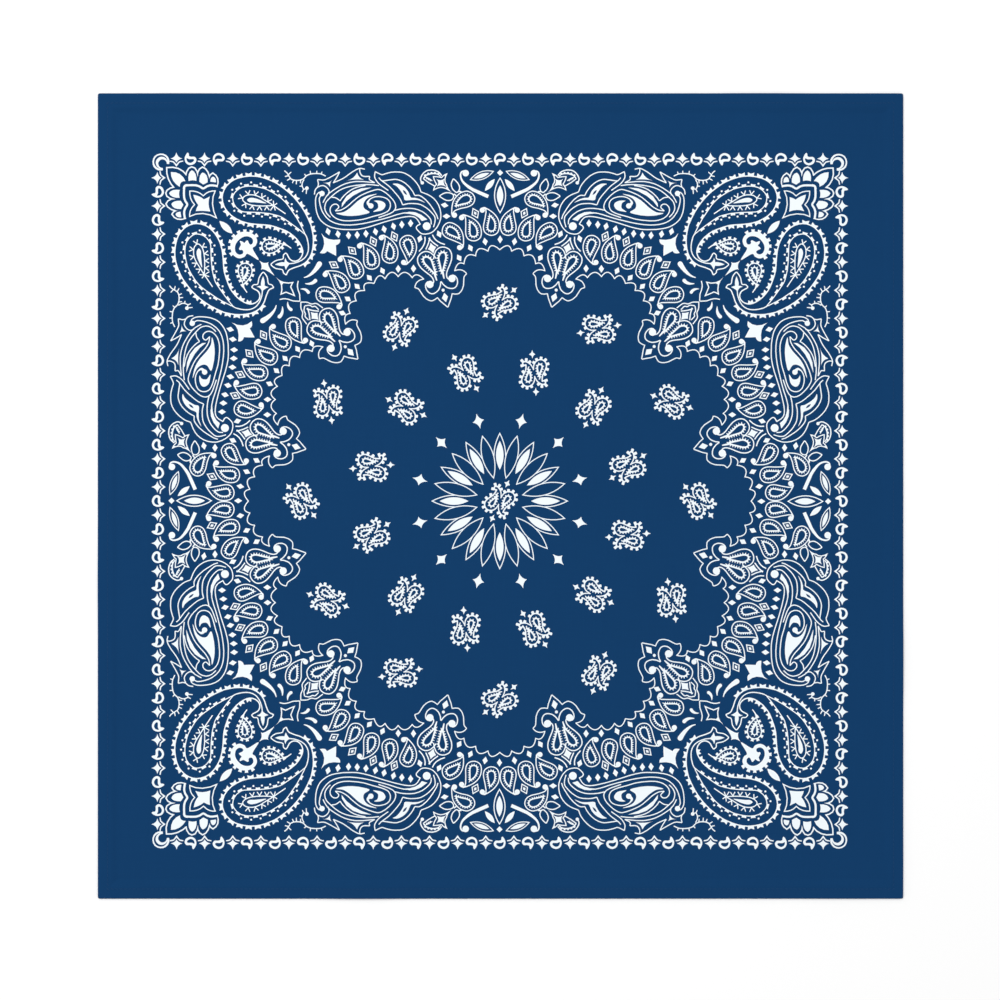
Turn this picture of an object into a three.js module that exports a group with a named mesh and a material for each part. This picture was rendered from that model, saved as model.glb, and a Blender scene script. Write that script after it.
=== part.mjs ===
// A square cotton bandana laid flat: one panel of thin cloth whose four edges are turned under
// in narrow hems. Millimetres, +Z up, origin under the middle of the cloth at the surface that
// it lies on. The panel and each hem turning are walls with one even thickness. Their outer
// points come from a section through the hemmed edge and from a few low ripples.
import * as THREE from "three";

const SIDE = 559; // finished width and length, hem fold to hem fold
const CLOTH = 1.0; // thickness of the panel's wall
const TURNING = 1.0; // thickness of the folded strip under each edge
const HEM_WIDTH = 7; // width of that strip
const SEAM_GAP = 0.3; // left between pieces that are sewn together
const FOLD_ROUND = 1.0; // radius of the fold's outer shoulder
const FOLD_SLANT = 0.05; // how far the fold's inner face leans
const STRIP_ROUND = 0.3; // bevel along the strip's long edges
const EASE_LENGTH = 6; // over which the panel comes down from the hem to the surface
const LINE_STEP = 17; // between the wall's section lines across the field
const SAME_PLACE = 1e-6; // two insets this near each other are one
const NAVY = 0x173e69;

// Low ripples that cotton keeps when it is smoothed out by hand. Each is a soft ridge with its
// middle at x, y, lying along heading in degrees. Length and width are over the whole ridge.
const RIPPLES = [
  { x: -214, y: 236, heading: 118, length: 150, width: 84, height: 1.1 },
  { x: -96, y: -262, heading: 97, length: 130, width: 92, height: 0.9 },
  { x: 178, y: 262, heading: 82, length: 120, width: 78, height: 0.8 },
  { x: 250, y: -118, heading: 12, length: 170, width: 88, height: 1.0 },
  { x: 206, y: -226, heading: 141, length: 190, width: 96, height: 1.2 },
  { x: -258, y: -64, heading: 171, length: 140, width: 80, height: 0.8 },
  { x: 112, y: 128, heading: 34, length: 220, width: 104, height: 0.6 },
  { x: -142, y: -128, heading: 52, length: 230, width: 110, height: 0.7 },
];

const HALF = SIDE / 2;
const HEM_OUTER = CLOTH + SEAM_GAP; // inset of the strip's outer edge from the fold
const HEM_INNER = HEM_OUTER + HEM_WIDTH; // inset of its inner edge
const PANEL_LIFT = TURNING + SEAM_GAP; // the panel's underside over the strip

// 1 in the middle of a span, 0 at its ends and beyond, smooth between.
function swell(distance, span) {
  const share = Math.min(1, Math.abs(distance) / (span / 2));
  return (1 + Math.cos(Math.PI * share)) / 2;
}

// How far the cloth stands off the surface at x, y.
function rippleHeight(x, y) {
  return RIPPLES.reduce((sum, ridge) => {
    const angle = THREE.MathUtils.degToRad(ridge.heading);
    const along = (x - ridge.x) * Math.cos(angle) + (y - ridge.y) * Math.sin(angle);
    const across = (y - ridge.y) * Math.cos(angle) - (x - ridge.x) * Math.sin(angle);
    return sum + ridge.height * swell(along, ridge.length) * swell(across, ridge.width);
  }, 0);
}

// Sections through the hemmed edge, from the fold inwards: the heights of the panel's two faces.
const SHOULDER = FOLD_ROUND * (1 - Math.SQRT1_2);
const PANEL_TOP = PANEL_LIFT + CLOTH;
const EDGE_SECTION = [
  { inset: 0, top: PANEL_TOP - FOLD_ROUND, under: 0 },
  { inset: SHOULDER, top: PANEL_TOP - SHOULDER, under: 0 },
  { inset: CLOTH, top: PANEL_TOP, under: 0 },
  { inset: CLOTH + FOLD_SLANT, top: PANEL_TOP, under: PANEL_LIFT },
  { inset: HEM_INNER + SEAM_GAP, top: PANEL_TOP, under: PANEL_LIFT },
];
const EASE_STEPS = 3;
for (let step = 1; step <= EASE_STEPS; step += 1) {
  const share = step / EASE_STEPS;
  const lift = PANEL_LIFT * swell(share * EASE_LENGTH, 2 * EASE_LENGTH);
  const inset = HEM_INNER + SEAM_GAP + share * EASE_LENGTH;
  EDGE_SECTION.push({ inset, top: lift + CLOTH, under: lift });
}
const EDGE_DEPTH = EDGE_SECTION[EDGE_SECTION.length - 1].inset;

// Sections across one hem strip, inset from the fold as above.
const STRIP_SECTION = [
  { inset: HEM_OUTER, top: TURNING - STRIP_ROUND, under: STRIP_ROUND },
  { inset: HEM_OUTER + STRIP_ROUND, top: TURNING, under: 0 },
  { inset: HEM_INNER - STRIP_ROUND, top: TURNING, under: 0 },
  { inset: HEM_INNER, top: TURNING - STRIP_ROUND, under: STRIP_ROUND },
];

// Height of one face, "top" or "under", at an inset from the fold.
function faceHeight(section, face, inset) {
  const next = section.findIndex((row) => row.inset >= inset - SAME_PLACE);
  if (next < 0) return section[section.length - 1][face];
  if (next === 0) return section[0][face];
  const [a, b] = [section[next - 1], section[next]];
  return THREE.MathUtils.mapLinear(inset, a.inset, b.inset, a[face], b[face]);
}

// Evenly spaced lines from one value to another, both included, no further apart than step.
function lines(from, to, step) {
  const count = Math.ceil((to - from) / step);
  return Array.from({ length: count + 1 }, (_, i) => from + ((to - from) * i) / count);
}

// A closed wall over the lines xs and ys, between the heights top(x, y) and under(x, y).
function wall(xs, ys, top, under) {
  const position = [];
  for (const face of [top, under])
    for (const y of ys)
      for (const x of xs) position.push(x, y, face(x, y) + rippleHeight(x, y));
  const index = [];
  const quad = (a, b, c, d) => index.push(a, b, c, a, c, d);
  const [columns, rows] = [xs.length, ys.length];
  const upper = (i, j) => j * columns + i;
  const lower = (i, j) => rows * columns + upper(i, j);
  for (let j = 0; j < rows - 1; j += 1)
    for (let i = 0; i < columns - 1; i += 1) {
      quad(upper(i, j), upper(i + 1, j), upper(i + 1, j + 1), upper(i, j + 1));
      quad(lower(i, j), lower(i, j + 1), lower(i + 1, j + 1), lower(i + 1, j));
    }
  const [right, back] = [columns - 1, rows - 1];
  for (let i = 0; i < right; i += 1) {
    quad(lower(i, 0), lower(i + 1, 0), upper(i + 1, 0), upper(i, 0));
    quad(upper(i, back), upper(i + 1, back), lower(i + 1, back), lower(i, back));
  }
  for (let j = 0; j < back; j += 1) {
    quad(upper(0, j), upper(0, j + 1), lower(0, j + 1), lower(0, j));
    quad(lower(right, j), lower(right, j + 1), upper(right, j + 1), upper(right, j));
  }
  const geometry = new THREE.BufferGeometry();
  geometry.setAttribute("position", new THREE.Float32BufferAttribute(position, 3));
  geometry.setIndex(index);
  geometry.computeVertexNormals();
  return geometry;
}

// The square of cloth, with its fold reaching down round the hem strips.
function panelGeometry() {
  const near = EDGE_SECTION.map((row) => row.inset - HALF);
  const field = lines(EDGE_DEPTH - HALF, HALF - EDGE_DEPTH, LINE_STEP).slice(1, -1);
  const across = [...near, ...field, ...near.map((place) => -place).reverse()];
  const inset = (x, y) => Math.min(HALF - Math.abs(x), HALF - Math.abs(y));
  const face = (name) => (x, y) => faceHeight(EDGE_SECTION, name, inset(x, y));
  return wall(across, across, face("top"), face("under"));
}

// One turned strip along an edge. Two opposite strips run the whole way between the folds, and
// the other two are cut short to meet them at the corners.
function stripGeometry(edge) {
  const reach = HALF - (edge.whole ? HEM_OUTER : HEM_INNER + SEAM_GAP);
  const along = lines(-reach, reach, LINE_STEP);
  const across = STRIP_SECTION.map((row) => edge.sign * (HALF - row.inset)).sort((a, b) => a - b);
  const inset = (x, y) => HALF - Math.abs(edge.axis === "x" ? x : y);
  const face = (name) => (x, y) => faceHeight(STRIP_SECTION, name, inset(x, y));
  const [xs, ys] = edge.axis === "x" ? [across, along] : [along, across];
  return wall(xs, ys, face("top"), face("under"));
}

const EDGES = [
  { name: "hem_left", axis: "x", sign: -1, whole: true },
  { name: "hem_right", axis: "x", sign: 1, whole: true },
  { name: "hem_bottom", axis: "y", sign: -1, whole: false },
  { name: "hem_top", axis: "y", sign: 1, whole: false },
];

const bandana = new THREE.Group();
bandana.name = "bandana";

function addPiece(name, geometry) {
  const cotton = new THREE.MeshStandardMaterial({ color: NAVY, roughness: 0.9, metalness: 0 });
  const piece = new THREE.Mesh(geometry, cotton);
  piece.name = name;
  bandana.add(piece);
}

addPiece("panel", panelGeometry());
for (const edge of EDGES) addPiece(edge.name, stripGeometry(edge));

export default bandana;
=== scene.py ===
import bpy
import math
import numpy as np
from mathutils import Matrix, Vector
from mathutils.geometry import delaunay_2d_cdt


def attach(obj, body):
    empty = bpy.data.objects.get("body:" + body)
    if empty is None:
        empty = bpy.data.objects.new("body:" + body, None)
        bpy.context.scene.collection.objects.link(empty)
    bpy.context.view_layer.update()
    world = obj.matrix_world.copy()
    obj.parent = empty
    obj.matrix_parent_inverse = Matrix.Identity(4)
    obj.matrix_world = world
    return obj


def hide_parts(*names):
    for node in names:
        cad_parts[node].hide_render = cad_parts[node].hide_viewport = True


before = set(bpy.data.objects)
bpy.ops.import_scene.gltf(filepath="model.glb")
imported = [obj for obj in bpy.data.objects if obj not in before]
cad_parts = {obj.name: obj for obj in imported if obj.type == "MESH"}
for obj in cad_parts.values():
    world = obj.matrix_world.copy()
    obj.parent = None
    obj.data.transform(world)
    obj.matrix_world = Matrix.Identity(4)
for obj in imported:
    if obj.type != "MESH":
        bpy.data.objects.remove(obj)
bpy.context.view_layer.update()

# The print's border
# The print is white ink, flat in the cloth's upper face. Each motif is drawn as white and navy
# outlines in millimetres from the print's middle, one over the other, and the cloth is cut along
# them further down. A row of stars and little ring paisleys frames it, with a crescent at each corner.
WHITE = True
NAVY = False
PRINT_REACH = 242.2  # from the middle of the print to the outside of its border row
ROW_FROM_MIDDLE = 237.3
STAR_PITCH = 19.51
STARS = 24  # along each side
SLACK = 0.07  # how far a thinned outline may be from its curve
TINY = 1e-9  # keeps a length of nothing from being divided by
printed = []  # (outline, WHITE or NAVY), in the order in which they are laid down


def at(right, down):
    """A place in millimetres from the printed square's top left corner."""
    return complex(right - PRINT_REACH, PRINT_REACH - down)


def thinned(outline):
    """An outline without the points that it can do without, within SLACK."""
    count = len(outline)
    far = max(range(count), key=lambda k: abs(outline[k] - outline[0]))
    kept_points = {0, far}
    ranges = [(0, far), (far, count)]
    while ranges:
        start, end = ranges.pop()
        a, b = outline[start], outline[end % count]
        along = (b - a) / abs(b - a) if b != a else 1
        offs = [abs(((p - a) * along.conjugate()).imag) for p in outline[start + 1:end]]
        if offs and max(offs) > SLACK:
            middle = start + 1 + offs.index(max(offs))
            kept_points.add(middle)
            ranges += [(start, middle), (middle, end)]
    return [outline[k] for k in sorted(kept_points)]


def lay(shapes, place=0, turn=0.0, flipped=False):
    """Prints a motif at a place, turned by degrees; flipped mirrors it left to right first."""
    spin = complex(math.cos(math.radians(turn)), math.sin(math.radians(turn)))
    for outline, colour in shapes:
        outline = thinned(outline)
        if len(outline) < 3:
            continue
        if flipped:
            outline = [-p.conjugate() for p in outline]
        printed.append(([place + spin * p for p in outline], colour))


def four_ways(shapes):
    """Prints what stands in the middle of a side or at a corner on all four of them."""
    for turn in range(0, 360, 90):
        lay(shapes, turn=turn)


def directions(line, closed=False):
    """The direction of a line at each of its points, as numbers of length 1."""
    ahead = line[1:] + (line[:1] if closed else line[-1:])
    behind = (line[-1:] if closed else line[:1]) + line[:-1]
    return [(a - b) / max(abs(a - b), TINY) for a, b in zip(ahead, behind)]


def smooth(points, closed=False, steps=4):
    """A soft curve through given points."""
    count = len(points)
    curve = []
    for i in range(count if closed else count - 1):
        if closed:
            before, start, end, after = (points[(i + k) % count] for k in (-1, 0, 1, 2))
        else:
            start, end = points[i], points[i + 1]
            before = points[i - 1] if i else 2 * start - end
            after = points[i + 2] if i + 2 < count else 2 * end - start
        for step in range(steps):
            t = step / steps
            pull = (end - before) * t + (2 * before - 5 * start + 4 * end - after) * t * t
            pull += (3 * start - before - 3 * end + after) * t**3
            curve.append(start + pull / 2)
    return curve if closed else curve + [points[-1]]


def arc(middle, radius, start, end, steps=12):
    """Points on part of a circle, between two angles in degrees."""
    angles = [math.radians(start + (end - start) * i / steps) for i in range(steps + 1)]
    return [middle + radius * complex(math.cos(a), math.sin(a)) for a in angles]


def brush(line, *widths):
    """The outline of a stroke along a line, whose width goes evenly through the given ones."""
    left, right = [], []
    lengths = [0.0]
    for a, b in zip(line, line[1:]):
        lengths.append(lengths[-1] + abs(b - a))
    for point, ahead, done in zip(line, directions(line), lengths):
        place = done / lengths[-1] * (len(widths) - 1)
        lower = min(int(place), len(widths) - 2) if len(widths) > 1 else 0
        upper = min(lower + 1, len(widths) - 1)
        width = widths[lower] + (widths[upper] - widths[lower]) * (place - lower)
        left.append(point + 1j * ahead * width / 2)
        right.append(point - 1j * ahead * width / 2)
    return right + left[::-1]


def bow(three, steps=6):
    """A curve from the first to the last of three points that passes the one between."""
    start, over, end = three
    pull = 2 * over - (start + end) / 2
    shares = [i / steps for i in range(steps + 1)]
    return [start * (1 - t) ** 2 + 2 * pull * t * (1 - t) + end * t * t for t in shares]


def star(*tips, waist=0.35, middle=0):
    """A star with bowed sides between its tips; waist is how thick it is between them."""
    outline = []
    for tip, following in zip(tips, tips[1:] + tips[:1]):
        outline += bow([tip, middle + (tip + following - 2 * middle) * waist / 2, following], 4)[:-1]
    return outline


border_star = [  # with a thin bent line below it, on the field's side
    ([-4.7 - 1.1j, -4.7 - 1.8j, -3.5 - 2.0j, -2.4 - 2.3j, -1.6 - 3.1j, -5.35j, 1.6 - 3.1j,
      2.4 - 2.3j, 3.5 - 2.0j, 4.7 - 1.8j, 4.7 - 1.1j, 2.9 - 1.3j, 1.8 - 1.65j, -3.65j,
      -1.8 - 1.65j, -2.9 - 1.3j], WHITE),
    (star(4.6j, -4.1 + 0.4j, -2.5j, 4.1 + 0.4j, waist=0.68), WHITE),
]
ring_paisley = [
    (smooth([-1.9 + 4.4j, -3.5 + 2.3j, -4.0 - 0.2j, -3.0 - 2.9j, -0.2 - 4.25j, 3.0 - 3.1j, 4.2 - 0.5j,
             2.9 + 1.5j, 0.6 + 1.5j, -0.9 + 2.0j, -1.1 + 3.4j], True, 3), WHITE),
    (smooth([-2.7 + 0.6j, -0.8 - 0.1j, 1.9, 2.5 - 1.1j, 1.2 - 2.35j, -0.5 - 2.7j, -2.2 - 1.7j],
            True, 3), NAVY),
]
ring_paisley_below = [([p.conjugate() for p in outline], ink) for outline, ink in ring_paisley]
for turn in range(0, 360, 90):
    ahead = complex(math.cos(math.radians(turn)), math.sin(math.radians(turn)))
    for k in range(STARS):
        along = (k - (STARS - 1) / 2) * STAR_PITCH
        lay(border_star, ahead * complex(along, ROW_FROM_MIDDLE), turn)
    for k in range(STARS - 1):
        along = (k - (STARS - 2) / 2) * STAR_PITCH
        tip_below = k % 2 == 1
        lay(ring_paisley_below if tip_below else ring_paisley,
            ahead * complex(along, ROW_FROM_MIDDLE), turn)

corner_crescent = arc(at(7.6, 7.5), 4.45, -10, 280, 16)
crescent_hollow = arc(at(7.3, 7.1), 4.45, 16, 254, 16)
four_ways([(brush(corner_crescent, 1.5, 3.6, 4.7, 3.6, 1.5), WHITE),
           (brush(crescent_hollow, 0.2, 1.1, 1.6, 1.1, 0.2), NAVY)])

# The lotus in each corner: petals with filled hearts stand behind a thick bracket, and a star in
# a frame lies before it. The petals go down first, so that the bracket covers their feet.
PETAL_RIM = 0.6
INK_SPREAD = 0.3  # how far the ink spreads past the petals' drawn edges
THIN_LINE = 0.75


def sides(*corners):
    """A closed outline of bowed sides: corner, middle of the side, corner, and so on."""
    outline = []
    for i in range(0, len(corners), 2):
        outline += bow([corners[i], corners[i + 1], corners[(i + 2) % len(corners)]], 4)[:-1]
    return outline


def area(outline):
    """The area inside an outline, above 0 where the outline runs to the left round it."""
    return sum((a.conjugate() * b).imag for a, b in zip(outline, outline[1:] + outline[:1])) / 2


def clearance(place, outline):
    """How far a place is from an outline."""
    nearest = math.inf
    for a, b in zip(outline, outline[1:] + outline[:1]):
        side = b - a
        share = ((place - a) * side.conjugate()).real / max(abs(side) ** 2, TINY)
        nearest = min(nearest, abs(place - a - side * min(1, max(0, share))))
    return nearest


def inset(outline, depth):
    """An outline moved inwards by a depth, or outwards where the depth is negative."""
    turn = 1j if area(outline) > 0 else -1j
    moved = []
    earlier, later = outline[-1:] + outline[:-1], outline[1:] + outline[:1]
    for before, point, after in zip(earlier, outline, later):
        ways = (point - before) / abs(point - before) + (after - point) / abs(after - point)
        # However sharp a corner is, its point moves at most four times the depth.
        moved.append(point + turn * depth * ways * 2 / max(abs(ways) ** 2, 0.25))
    # Points that a narrow place pushes too near its other side are left out.
    return [p for p in moved if clearance(p, outline) > 0.97 * abs(depth)]


def leaf(tail, tip, width):
    """A leaf with two pointed ends, widest in the middle."""
    along = tip - tail
    middle = tail + along / 2
    side = 1j * along / abs(along) * width / 2
    return bow([tail, middle - side, tip], 10)[:-1] + bow([tip, middle + side, tail], 10)[:-1]


def rimmed(outline, rim):
    """A white outline with the ground showing inside it."""
    return [(outline, WHITE), (inset(outline, rim), NAVY)]


def stroke(line, *widths):
    """A white line of one width, or of widths that go evenly into one another."""
    return [(brush(line, *widths), WHITE)]


def eight_ways(shapes):
    """Prints what stands beside a corner, with its mirror image, at all four corners."""
    for flipped in (False, True):
        for turn in range(0, 360, 90):
            lay(shapes, turn=turn, flipped=flipped)


corner_petal = sides(at(10.9, 10.7), at(19.2, 11.3), at(25.3, 16.3), at(25.3, 20.5), at(23.7, 24),
                     at(20.3, 25.5), at(16.6, 25.5), at(12, 18.6))
corner_heart = sides(at(13.6, 13.6), at(20.4, 15.1), at(24.6, 20.6), at(21.3, 21.2), at(20.4, 24.8),
                     at(15.2, 19.9))
top_petals = [
    sides(at(28.4, 10.2), at(32.3, 13.3), at(33.5, 22.7), at(28.7, 23.3), at(23.5, 22.7),
          at(24.8, 13.6)),
    sides(at(35.9, 10.3), at(39.9, 14), at(41.9, 22.7), at(37.3, 23.8), at(32.4, 22.7),
          at(32.4, 14.3)),
    sides(at(43.1, 14.4), at(46.6, 18.3), at(46.1, 24.2), at(43.1, 23.8), at(40.2, 23.2),
          at(40.3, 17.5)),
]
top_hearts = [
    sides(at(28.6, 12.3), at(31.4, 15.2), at(32, 20.5), at(29, 19.9), at(26, 20.6), at(26.2, 15.2)),
    sides(at(36, 13.9), at(39.1, 16.3), at(39.8, 21.3), at(38.5, 22), at(36.4, 22.9),
          at(34.5, 21.6), at(33.5, 20.9), at(34, 16.3)),
    sides(at(43.3, 16.8), at(45.3, 18.6), at(45.4, 22), at(43.4, 21.5), at(41.1, 21.7),
          at(41.5, 18.3)),
]
four_ways([(inset(corner_petal, -INK_SPREAD), WHITE)])
eight_ways([(inset(petal, -INK_SPREAD), WHITE) for petal in top_petals])
four_ways([(inset(corner_petal, PETAL_RIM), NAVY)])
eight_ways([(inset(petal, PETAL_RIM), NAVY) for petal in top_petals])
four_ways([(inset(corner_heart, INK_SPREAD), WHITE)])
eight_ways([(inset(heart, INK_SPREAD), WHITE) for heart in top_hearts])
gap_under_petals = smooth([at(23.3, 23.8), at(25.3, 22.2), at(31.6, 22.2), at(36.5, 24.5),
                           at(40.8, 22.5), at(46, 23.1)])
bracket = smooth([at(22.9, 25.5), at(23.5, 23.7), at(25.4, 23.1), at(31, 23.1), at(33.9, 23.9),
                  at(36.4, 25.3), at(39.1, 23.8), at(41.9, 23.1), at(46.2, 23.6)])
eight_ways([(brush(gap_under_petals, 3.6), NAVY)])
eight_ways(stroke(bracket, 1.4))
lotus_frame = sides(at(26.7, 26.7), at(32.2, 27.3), at(36.5, 29.9), at(40.2, 27.3), at(45.3, 26.6),
                    at(43.2, 35.9), at(46.2, 46.4), at(36.2, 43), at(26.6, 45.2), at(27.1, 40.5),
                    at(29.9, 36.5), at(27.3, 32.2))
lotus_star = sides(at(29.5, 29.7), at(33.9, 30.9), at(36.8, 32.9), at(39.1, 31.9), at(41, 30.8),
                   at(40.1, 35.9), at(41.3, 41.3), at(35.9, 40.8), at(31.2, 41), at(31.9, 38.8),
                   at(33, 36.8), at(30.9, 33.6))
four_ways(rimmed(lotus_frame, THIN_LINE) + [(lotus_star, WHITE)])
four_ways([(leaf(at(47.6, 47.8), at(56.6, 56.5), 4.4), WHITE)])

# The great paisley beside each corner, with its mirror image: a band with lugs, a ring of blocks
# and dots inside it, a spiny leaf in the middle, and a bud at its curled tip.
UNIT = 6.2  # from one lug to the next
DOT_STAND = 2.6  # from the ring to its dots
BOLD_LINE = 0.83
INNER_LINE = 0.66
SPINE = 0.7  # how wide a spine of the leaf is
SPINE_PITCH = 4.9
SPINE_LENGTH = 3.1
SPINE_SPREAD = 0.55  # how far each of a pair of spines leans from the leaf's edge, in radians


def disc(middle, radius, corners=10):
    """A round dot, with so many corners."""
    return arc(middle, radius, 0, 360, corners)[:-1]


def evenly(line, pitch, closed=False):
    """Places at an even pitch along a line, each with the line's direction there."""
    ways = directions(line, closed)
    if closed:
        line, ways = line + line[:1], ways + ways[:1]
    lengths = [abs(b - a) for a, b in zip(line, line[1:])]
    count = max(1, round(sum(lengths) / pitch))
    places = []
    wanted, done = 0.0, 0.0
    for a, b, way_a, way_b, length in zip(line, line[1:], ways, ways[1:], lengths):
        while len(places) < count + (not closed) and done + length >= wanted - TINY:
            share = (wanted - done) / max(length, TINY)
            way = way_a + (way_b - way_a) * share
            places.append((a + (b - a) * share, way / abs(way)))
            wanted += sum(lengths) / count
        done += length
    return places


def lugs(line, pitch, length, height, dip=0.0, side=1, closed=False, ends=False):
    """Raised lugs at an even pitch along one side of a line, each a little hollow on top."""
    parts = 12  # of each pitch, in which a lug's ends are placed
    shapes = []
    whole = sum(abs(b - a) for a, b in zip(line, line[1:] + line[:1] if closed else line[1:]))
    step = whole / max(1, round(whole / pitch)) / parts
    places = [(place, 1j * side * ahead) for place, ahead in evenly(line, step, closed)]
    half = round(length / step / 2)
    first = 0 if closed else half if ends else parts
    for k in range(first, len(places) - first, parts):
        (start, out_start), (place, out), (end, out_end) = (
            places[j % len(places)] for j in (k - half, k, k + half))
        shapes.append(([start, end, end + out_end * height, place + out * (height - dip),
                        start + out_start * height], WHITE))
    return shapes


band = smooth([at(94.4, 70.6), at(96.5, 74.3), at(99.4, 75.7), at(102.5, 74.9), at(104.8, 72.1),
               at(105.4, 68.4), at(104, 64.4), at(100.9, 60), at(95.7, 55.7), at(90.4, 53.3),
               at(82.7, 50.9), at(74.9, 50.3), at(67.2, 49.3), at(61, 47.2), at(55.4, 43.6),
               at(51.3, 38.6), at(49.6, 33.1), at(50.1, 28.1), at(52.9, 23.1), at(57.9, 19.1),
               at(64.7, 17), at(71.8, 16.6), at(78.3, 17.8), at(85.8, 20.8), at(90.1, 23.5),
               at(96.3, 28.3), at(101.9, 34.3), at(106.8, 41.4), at(110.6, 49.2), at(111.5, 52),
               at(112.7, 58.2), at(112.7, 64.7), at(111.5, 70.6), at(108.7, 75.4), at(104.4, 78.5),
               at(99.4, 80.2), at(95.7, 82), at(94, 85.3)])
crowned = band[14:-10]  # the stretch of it that carries lugs
ring = smooth([at(106.8, 56.9), at(103.7, 54.3), at(98.8, 50.6), at(93.5, 46.9), at(89.5, 44.5),
               at(83.3, 42.9), at(81.1, 42.5), at(74.9, 41.9), at(68.7, 41.7), at(63.7, 41.3),
               at(59.7, 38.8), at(57.4, 35.2), at(56.9, 30.9), at(59.1, 27.2), at(63.1, 24.5),
               at(68.1, 23.6), at(72.7, 23.9), at(78.9, 25.3), at(83.9, 27.6), at(89.5, 31.2),
               at(93.8, 35.2), at(97.5, 40.2), at(101.3, 45.8), at(104.4, 51.4), at(106.7, 56)])
line_to_bud = smooth([at(106.4, 56), at(108.2, 59.1), at(109.3, 64.1), at(109.2, 68.7), at(107.6, 72.4),
                      at(104.4, 75.2), at(100, 76.9), at(96.3, 77.4)])
great_paisley = stroke(band, BOLD_LINE)
great_paisley += lugs(crowned, UNIT, length=4.6, height=2.6, dip=1.0)
great_paisley += stroke(ring, INNER_LINE)
great_paisley += lugs(ring, UNIT, length=3.2, height=1.6, dip=0.2)
between_blocks = evenly(ring, UNIT / 2)[5:-4:2]
great_paisley += [(disc(place + DOT_STAND * 1j * ahead, 0.72, 8), WHITE)
                  for place, ahead in between_blocks]
great_paisley += stroke(line_to_bud, THIN_LINE)
bud = sides(at(86.1, 77.9), at(90.1, 76.5), at(92.7, 76.5), at(92.9, 74.9), at(93.5, 73.5),
            at(94.6, 76), at(97.2, 77.2), at(95.4, 78.6), at(93.7, 81.7), at(93.1, 80.2),
            at(92.7, 78.9), at(89.5, 78.9))
great_paisley += [(bud, WHITE)]
bud_line = smooth([at(94.4, 70.6), at(93.5, 70.1), at(92, 71.5), at(91.6, 74.1), at(87.3, 75.1),
                   at(83.9, 77.2), at(83.7, 78.6), at(86.7, 80.7), at(91.2, 81.6), at(92.1, 83.9),
                   at(94, 85.3)])
great_paisley += stroke(bud_line, THIN_LINE)
leaf_line = smooth([at(85.3, 37), at(81.1, 34.2), at(75.8, 30.9), at(71.5, 29.4), at(67.2, 29.4),
                    at(64.2, 30.9), at(63.4, 33.1), at(65, 35.2), at(68.4, 36.8), at(73.4, 37.6),
                    at(79.6, 37.7)], True)
great_paisley += rimmed(leaf_line, 0.72)
great_paisley += stroke([at(85.1, 36.9), at(87.3, 38.6), at(93.5, 42.8)], THIN_LINE)
leaf_heart = smooth([at(66.8, 33.1), at(69.3, 31.7), at(73.4, 32.3), at(77.1, 33.8), at(80.2, 35.5),
                     at(76.5, 35.2), at(71.8, 34.8), at(68.4, 34.7)], True, 3)
great_paisley += [(leaf_heart, WHITE)]
for place, ahead in evenly(leaf_line, SPINE_PITCH, True)[1:]:
    for spread in (-SPINE_SPREAD, SPINE_SPREAD):
        tip = place - SPINE_LENGTH * 1j * ahead * complex(math.cos(spread), math.sin(spread))
        great_paisley += stroke([place, tip], SPINE)
for tip in (at(85, 33.7), at(87.6, 35.5), at(83, 40.5), at(86.4, 40.5)):
    great_paisley += stroke([at(85.3, 37), tip], SPINE)
eight_ways(great_paisley)

# Between the two great paisleys of a corner: a toothed curl that holds a star, and a second star
# on its tail. Both lie on the square's diagonal.
curl = smooth([at(74.9, 74.9), at(70.7, 67.2), at(72.7, 65), at(73.8, 61.5), at(72.1, 57.9),
               at(68.1, 55.5), at(62.8, 55.5), at(58.3, 58.3), at(55.5, 62.7), at(55.5, 68),
               at(57.9, 72.1), at(61.4, 73.7), at(65.1, 72.6), at(67.3, 70.6)], True)
curl_hollow = smooth([
    at(68.1, 63.2), at(69.1, 64.2), at(70.5, 63.4), at(70.9, 61.2), at(69.4, 59.2), at(66.2, 58.4),
    at(62.9, 59.5), at(59.9, 62.2), at(58.4, 65.6), at(58.7, 69), at(60.5, 70.9), at(62.5, 71.1),
    at(64, 70.1), at(63.9, 68.4), at(62.8, 67.8), at(61.7, 68), at(61.2, 67.1), at(61.8, 65.6),
    at(62.5, 64.4), at(62.1, 63), at(61.8, 61.7), at(63.5, 62), at(64.8, 63), at(65.8, 61.9),
    at(66.9, 61.1), at(67.6, 62)], True, 3)
curl_teeth = smooth([at(73, 59.3), at(72.1, 57.7), at(68.9, 55.7), at(62.8, 55.7), at(58.3, 58.4),
                     at(55.7, 62.7), at(55.7, 68.9), at(58.6, 72.5)])
four_ways([(curl, WHITE), (curl_hollow, NAVY)]
          + lugs(curl_teeth, 4.2, length=2.2, height=1.9, dip=0.2, side=-1, ends=True))
four_ways([(sides(at(75.2, 75.2), at(78.4, 76.9), at(81.7, 76.4), at(81.8, 79.3), at(85.9, 85.9),
                  at(79.4, 81.7), at(76.5, 81.7), at(76.8, 78.5)), WHITE)])

# The small paisley in the bend of each great one. It has lugs all round, a toothed ring inside
# and a short stalk at its tip.
BEND = -0.35  # how far its middle leans to one side


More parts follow.
